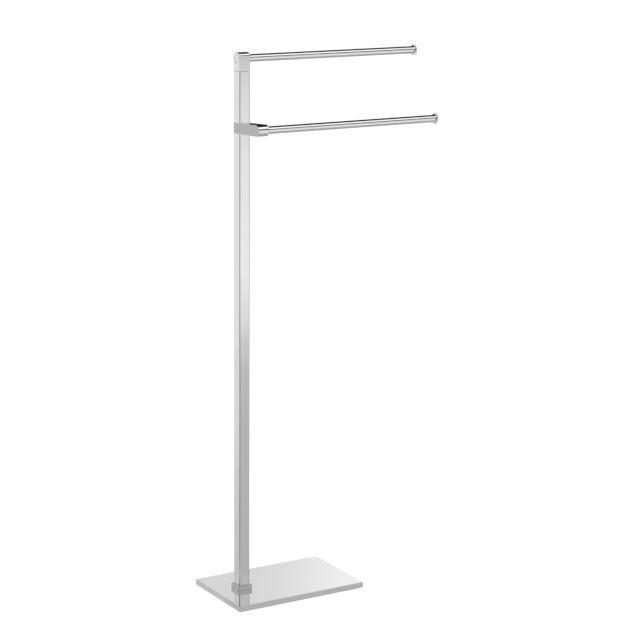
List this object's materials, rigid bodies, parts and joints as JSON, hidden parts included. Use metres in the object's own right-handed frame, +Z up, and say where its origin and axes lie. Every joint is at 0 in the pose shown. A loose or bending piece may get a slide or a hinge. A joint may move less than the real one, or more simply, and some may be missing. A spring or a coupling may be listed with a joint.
{
  "type": "freestanding towel stand",
  "caption": "Freestanding towel stand: square post on a heavy rectangular base plate, with two round towel bars reaching out to one side, the lower one set forward on a bracket.",
  "frame": {"origin": "on the floor, on the axis of the post, at the underside of the floor mat", "axes": "+Z up the post, +X along the towel bars towards their free ends, +Y to the back, away from the lower bar"},
  "size_m": [0.49, 0.2, 1.1775],
  "materials": {
    "floor_rubber": "matt, fine texture",
    "polished_plate": "mirror polished",
    "polished_tube": "mirror polished, chrome plated",
    "polished_block": "mirror polished, chrome plated",
    "polished_bar": "mirror polished, chrome plated",
    "plug_metal": "machined",
    "screw_steel": "zinc plated"
  },
  "bodies": {
    "root": {"floor_mat": "floor_rubber", "base_plate": "polished_plate", "base_screws": "screw_steel", "base_washers": "screw_steel", "post_collar": "polished_block", "lower_post_tube": "polished_tube", "lower_post_foot_plug": "plug_metal", "lower_post_top_plug": "plug_metal", "bracket_stud": "screw_steel", "lower_arm_bracket": "polished_block", "upper_post_tube": "polished_tube", "upper_post_bottom_plug": "plug_metal", "upper_post_top_plug": "plug_metal", "head_stud": "screw_steel", "head_block": "polished_block", "head_cover_plug": "polished_block", "upper_bar_screw": "screw_steel", "upper_bar_tube": "polished_bar", "upper_bar_insert": "plug_metal", "upper_bar_end_cap": "polished_bar", "lower_bar_stud": "screw_steel", "lower_bar_tube": "polished_bar", "lower_bar_insert": "plug_metal", "lower_bar_end_cap": "polished_bar"}
  },
  "joints": []
}
